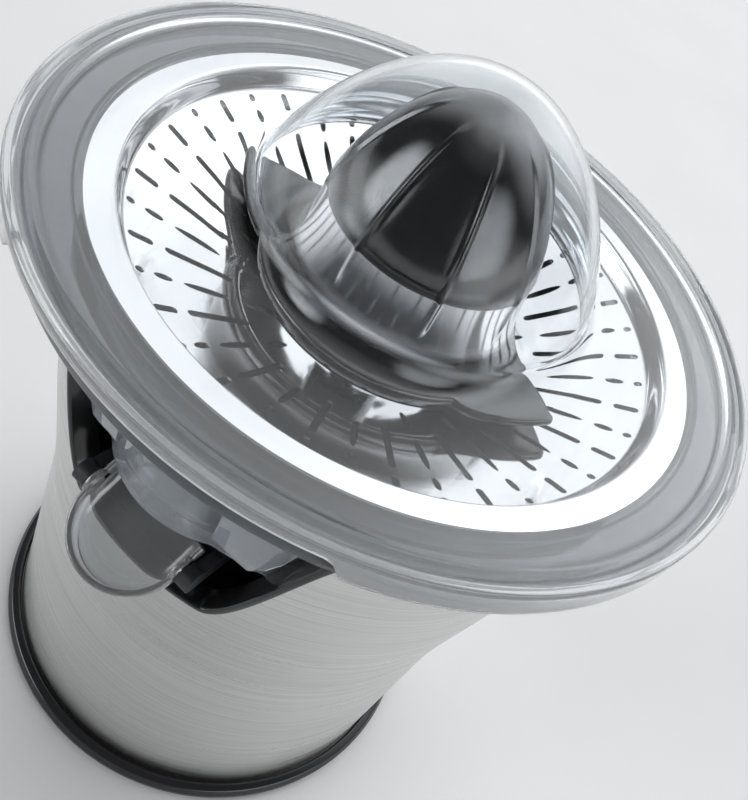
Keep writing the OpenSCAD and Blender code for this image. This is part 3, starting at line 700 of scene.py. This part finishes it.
def make_base():
    """The glossy base ring, with the ledge that the steel skin stands on."""
    outline = rounded(
        [
            (74.3, 1.0, 0.3),
            (81.4, 1.0, 0.6),
            (82.2, 2.0, 0.5),
            (82.2, 3.4, 0.7),
            (81.0, 5.4, 1.2),
            (78.4, 6.6, 0.6),
            (77.9, 4.6, 0.0),
            (76.2, 4.6, 0.0),
            (76.2, 12.5, 0.4),
            (74.3, 12.5, 0.4),
        ],
        5,
    )
    return to_piece("base_foot_ring", *turned(lambda azimuth: outline, even_azimuths(240)))


# ---------- materials ----------

EVEN = (1, 1, 1)
METAL = {"Metallic": 1.0}
# The spout is thicker and hazier than the cover
HAZY = {"Transmission Weight": 0.86, "IOR": 1.8}

# Material: darker and lighter colour, roughness range, plain sockets, grain's scale and stretch,
# and the relief's strength and depth
FINISHES = {
    "polished_steel": (
        (0.80, 0.80, 0.81), (0.88, 0.88, 0.88), (0.03, 0.085), METAL, 25, EVEN, (0.03, 0.0001)
    ),
    "machine_steel": (
        (0.40, 0.40, 0.41), (0.58, 0.58, 0.57), (0.22, 0.42), METAL, 120, EVEN, (0.15, 0.0001)
    ),
    "gloss_black": (
        (0.012, 0.012, 0.013), (0.022, 0.022, 0.024), (0.10, 0.20), {}, 90, EVEN, (0.04, 0.0001)
    ),
    "black_plastic": (
        (0.010, 0.010, 0.011), (0.018, 0.018, 0.019), (0.38, 0.55), {}, 700, EVEN, (0.25, 0.0001)
    ),
    "rubber": (
        (0.018, 0.018, 0.018), (0.030, 0.030, 0.030), (0.65, 0.85), {}, 500, EVEN, (0.3, 0.0001)
    ),
    "hazy_plastic": (
        (0.80, 0.82, 0.84), (0.88, 0.90, 0.91), (0.02, 0.06), HAZY, 30, EVEN, (0.05, 0.0002)
    ),
    "gear_nylon": (
        (0.70, 0.68, 0.60), (0.80, 0.78, 0.71), (0.35, 0.5), {}, 200, EVEN, (0.15, 0.0001)
    ),
    "bronze": (
        (0.42, 0.28, 0.12), (0.58, 0.40, 0.19), (0.28, 0.5), METAL, 400, EVEN, (0.3, 0.0001)
    ),
    "copper": (
        (0.50, 0.20, 0.08), (0.65, 0.28, 0.12), (0.2, 0.4), METAL, 60, (1, 1, 30), (0.8, 0.0003)
    ),
    "laminations": (
        (0.22, 0.22, 0.23), (0.34, 0.34, 0.34), (0.35, 0.6), METAL, 40, (0.1, 0.1, 40), (0.8, 0.0003)
    ),
    "switch_plastic": (
        (0.035, 0.035, 0.04), (0.055, 0.055, 0.06), (0.3, 0.45), {}, 300, EVEN, (0.2, 0.0001)
    ),
    "plunger_plastic": (
        (0.42, 0.035, 0.03), (0.52, 0.05, 0.04), (0.3, 0.45), {}, 300, EVEN, (0.2, 0.0001)
    ),
    "floor_paper": (
        (0.86, 0.86, 0.86), (0.88, 0.88, 0.88), (0.6, 0.7), {}, 8, EVEN, (0.1, 0.0001)
    ),
}


def add_node(tree, kind, inputs=None, **settings):
    """A node with its settings, and inputs that are either sockets to link or plain values."""
    made = tree.nodes.new(kind)
    for key, value in settings.items():
        setattr(made, key, value)
    for key, value in (inputs or {}).items():
        if isinstance(value, bpy.types.NodeSocket):
            tree.links.new(value, made.inputs[key])
        else:
            made.inputs[key].default_value = value
    return made


def new_material(name, sockets):
    """A Principled material with plain values on its sockets, as (material, node tree, shader)."""
    made = bpy.data.materials.new(name)
    made.use_nodes = True
    shader = made.node_tree.nodes["Principled BSDF"]
    for key, value in sockets.items():
        shader.inputs[key].default_value = value
    return made, made.node_tree, shader


def place_on(tree):
    """The point's place on the object, in metres."""
    return add_node(tree, "ShaderNodeTexCoord").outputs["Object"]


def height_on(tree):
    """The point's height above the table."""
    return add_node(tree, "ShaderNodeSeparateXYZ", {"Vector": place_on(tree)}).outputs["Z"]


def reach_on(tree):
    """The point's distance from the drive axis."""
    inputs = {0: place_on(tree), 1: (1, 1, 0)}
    flat = add_node(tree, "ShaderNodeVectorMath", inputs, operation="MULTIPLY").outputs["Vector"]
    return add_node(tree, "ShaderNodeVectorMath", {0: flat}, operation="LENGTH").outputs["Value"]


def noise(tree, scale, detail=2.0, stretch=EVEN):
    """Object-space noise, stretched per axis; returns its factor socket."""
    stretched = add_node(tree, "ShaderNodeMapping", {"Vector": place_on(tree), "Scale": stretch})
    inputs = {"Vector": stretched.outputs["Vector"], "Scale": scale, "Detail": detail}
    return add_node(tree, "ShaderNodeTexNoise", inputs).outputs["Fac"]


def spread(tree, value, low, high, span=(0.3, 0.7)):
    """A value that goes from low to high as the given one crosses its span."""
    inputs = {"Value": value, "From Min": span[0], "From Max": span[1], "To Min": low, "To Max": high}
    return add_node(tree, "ShaderNodeMapRange", inputs).outputs["Result"]


def tint(tree, value, dark, light):
    """A colour between dark and light, from a factor."""
    ramp = add_node(tree, "ShaderNodeValToRGB", {"Fac": value})
    ramp.color_ramp.elements[0].position = 0.3
    ramp.color_ramp.elements[0].color = (*dark, 1)
    ramp.color_ramp.elements[1].position = 0.7
    ramp.color_ramp.elements[1].color = (*light, 1)
    return ramp.outputs["Color"]


def bump(tree, shader, height, strength, distance):
    """Fine relief from a height, on the shader's normal."""
    inputs = {"Height": height, "Strength": strength, "Distance": distance}
    tree.links.new(add_node(tree, "ShaderNodeBump", inputs).outputs["Normal"], shader.inputs["Normal"])


def surface(name, dark, light, rough, sockets, scale, stretch, relief):
    """A material whose colour drifts slowly, and whose roughness and relief follow a finer grain."""
    made, tree, shader = new_material(name, sockets)
    grain = noise(tree, scale, 3.0, stretch)
    drift = noise(tree, 9.0)
    tree.links.new(tint(tree, drift, dark, light), shader.inputs["Base Color"])
    tree.links.new(spread(tree, grain, *rough), shader.inputs["Roughness"])
    bump(tree, shader, grain, *relief)
    return made


def brushed_steel():
    """Satin steel brushed round the body: long fine streaks, with a few deeper ones."""
    made, tree, shader = new_material("brushed_steel", {"Metallic": 1.0, "Anisotropic": 0.55})
    fine = noise(tree, 300.0, 3.0, (0.05, 0.05, 9.0))
    broad = noise(tree, 60.0, 3.0, (0.12, 0.12, 6.0))
    tree.links.new(tint(tree, fine, (0.52, 0.52, 0.51), (0.72, 0.72, 0.71)), shader.inputs["Base Color"])
    tree.links.new(spread(tree, broad, 0.26, 0.38), shader.inputs["Roughness"])
    tangent = add_node(tree, "ShaderNodeTangent", direction_type="RADIAL", axis="Z")
    tree.links.new(tangent.outputs["Tangent"], shader.inputs["Tangent"])
    bump(tree, shader, fine, 0.12, 0.00004)
    return made


def clear_plastic():
    """Clear plastic that bends light little in the dome and more, with some haze, at the outer lip."""
    made, tree, shader = new_material("clear_plastic", {})
    reach = reach_on(tree)
    tree.links.new(spread(tree, reach, 1.3, 1.5, (0.060, 0.095)), shader.inputs["IOR"])
    tree.links.new(spread(tree, reach, 1.0, 0.8, (0.0995, 0.1012)), shader.inputs["Transmission Weight"])
    wave = noise(tree, 30.0, 3.0)
    tree.links.new(tint(tree, wave, (0.86, 0.88, 0.90), (0.92, 0.94, 0.95)), shader.inputs["Base Color"])
    tree.links.new(spread(tree, wave, 0.01, 0.05), shader.inputs["Roughness"])
    bump(tree, shader, wave, 0.05, 0.0002)
    return made


def smoky_plastic():
    """Transparent plastic with a dark base colour at the rim, above about 198 mm, and a paler, hazy one
    in the walls below.
    """
    made, tree, shader = new_material("smoky_plastic", {"IOR": 1.49})
    rim_share = spread(tree, height_on(tree), 0.0, 1.0, (0.186, 0.198))
    tree.links.new(tint(tree, rim_share, (0.62, 0.66, 0.70), (0.17, 0.18, 0.19)), shader.inputs["Base Color"])
    tree.links.new(spread(tree, rim_share, 0.74, 1.0), shader.inputs["Transmission Weight"])
    wave = noise(tree, 30.0, 3.0)
    tree.links.new(spread(tree, wave, 0.02, 0.06), shader.inputs["Roughness"])
    bump(tree, shader, wave, 0.05, 0.0002)
    return made


def cone_plastic():
    """Polished black plastic; the metallic silver band round the upper part of the flare is a painted
    reflection.
    """
    made, tree, shader = new_material("cone_plastic", {"IOR": 2.0})
    height = height_on(tree)
    # Between about 200 and 217 mm the black flare turns metallic silver: a painted reflection of the
    # bright light that its black plastic mirrors
    below = spread(tree, height, 1.0, 0.0, (0.2160, 0.2168))
    above = spread(tree, height, 0.0, 1.0, (0.1965, 0.2045))
    painted_reflection_band = add_node(tree, "ShaderNodeMath", {0: below, 1: above}, operation="MULTIPLY").outputs["Value"]
    tree.links.new(painted_reflection_band, shader.inputs["Metallic"])
    colour = tint(tree, painted_reflection_band, (0.008, 0.008, 0.009), (0.70, 0.70, 0.71))
    tree.links.new(colour, shader.inputs["Base Color"])
    wave = noise(tree, 80.0, 3.0)
    tree.links.new(spread(tree, wave, 0.10, 0.16), shader.inputs["Roughness"])
    bump(tree, shader, wave, 0.03, 0.0001)
    return made


def make_materials():
    """Every material, by name."""
    made = {name: surface(name, *finish) for name, finish in FINISHES.items()}
    made["brushed_steel"] = brushed_steel()
    made["clear_plastic"] = clear_plastic()
    made["smoky_plastic"] = smoky_plastic()
    made["cone_plastic"] = cone_plastic()
    return made


def paint(piece, material):
    """The piece in one material."""
    piece.data.materials.clear()
    piece.data.materials.append(material)


# ---------- the object ----------

materials = make_materials()
for part in frame["record"]["subparts"]:
    paint(frame["nodes"][part["node"]], materials[part["material_slot"]])

# Each piece's maker, the CAD node it stands for, the body it rides on and its material slot
PIECES = [
    (make_cover, "dust_cover", "cover", "clear_plastic"),
    (make_collector, "juice_collector", "base", "smoky_plastic"),
    (make_sieve, "sieve", "base", "polished_steel"),
    (make_cone, "reamer_cone", "cone", "cone_plastic"),
    (make_spout, "spout", "spout", "clear_plastic"),
    (make_sleeve, "steel_sleeve", "base", "brushed_steel"),
    (make_trim, "cutout_trim", "base", "gloss_black"),
    (make_base, "base_ring", "base", "gloss_black"),
]
for make, node, body, slot in PIECES:
    piece = make()
    paint(piece, materials["hazy_plastic" if node == "spout" else slot])
    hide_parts(node)
    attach(piece, body)


# ---------- floor, light and camera ----------


def make_floor():
    """A pale floor, wide enough to fill every view."""
    half, steps = 6.0, 24
    points = []
    for i in range(steps + 1):
        for j in range(steps + 1):
            points.append(((2 * i / steps - 1) * half, (2 * j / steps - 1) * half, 0.0))
    mesh = bpy.data.meshes.new("studio_floor")
    mesh.from_pydata(points, [], grid_faces(steps + 1, steps + 1))
    floor = bpy.data.objects.new("studio_floor", mesh)
    bpy.context.scene.collection.objects.link(floor)
    paint(floor, materials["floor_paper"])
    return floor


def add_world(room, glows):
    """A dim room with soft round lights, each (angle from the front, height, core, reach, strength)."""
    world = bpy.data.worlds.new("studio_world")
    bpy.context.scene.world = world
    world.use_nodes = True
    tree = world.node_tree
    direction = add_node(tree, "ShaderNodeTexCoord").outputs["Generated"]
    total = room
    for heading, height, core, reach, strength in glows:
        turn, rise = math.radians(heading), math.radians(height)
        axis = (math.sin(turn) * math.cos(rise), -math.cos(turn) * math.cos(rise), math.sin(rise))
        near = add_node(tree, "ShaderNodeVectorMath", {0: direction, 1: axis}, operation="DOT_PRODUCT")
        inputs = {
            "Value": near.outputs["Value"],
            "From Min": math.cos(math.radians(reach)),
            "From Max": math.cos(math.radians(core)),
            "To Min": 0.0,
            "To Max": strength,
        }
        glow = add_node(tree, "ShaderNodeMapRange", inputs, interpolation_type="SMOOTHSTEP")
        total = add_node(tree, "ShaderNodeMath", {0: total, 1: glow.outputs["Result"]}).outputs["Value"]
    background = tree.nodes["Background"]
    background.inputs["Color"].default_value = (0.97, 0.985, 1.0, 1)
    tree.links.new(total, background.inputs["Strength"])


def add_camera():
    """The photograph's view: close, from above the front, and rolled to one side."""
    heading, down, roll = math.radians(12), math.radians(43.79), math.radians(34.97)
    right = Vector((math.cos(heading), math.sin(heading), 0))
    ahead = Vector((-math.sin(heading), math.cos(heading), 0))
    forward = ahead * math.cos(down) - Vector((0, 0, math.sin(down)))
    up = right.cross(forward)
    rolled_right = right * math.cos(roll) + up * math.sin(roll)
    rolled_up = up * math.cos(roll) - right * math.sin(roll)
    data = bpy.data.cameras.new("photo_view")
    data.lens = 40.9
    data.sensor_width = 36
    data.shift_x = -0.048
    data.shift_y = 0.022
    data.clip_start = 0.01
    data.clip_end = 50
    camera = bpy.data.objects.new("photo_view", data)
    turn = Matrix((rolled_right, rolled_up, -forward)).transposed().to_4x4()
    camera.matrix_world = Matrix.Translation((0.0656, -0.1937, 0.3485)) @ turn
    bpy.context.scene.collection.objects.link(camera)
    bpy.context.scene.camera = camera


# Soft lights: behind to the left and right, overhead, low at the front left, and low at the right
GLOWS = [
    (-160, 36, 24, 60, 1.3),
    (150, 38, 10, 40, 1.0),
    (170, 84, 6, 26, 0.7),
    (-46, 12, 10, 28, 4.4),
    (76, 12, 8, 34, 2.6),
]

make_floor()
add_world(0.09, GLOWS)
add_camera()
bpy.context.scene.view_settings.view_transform = "Standard"
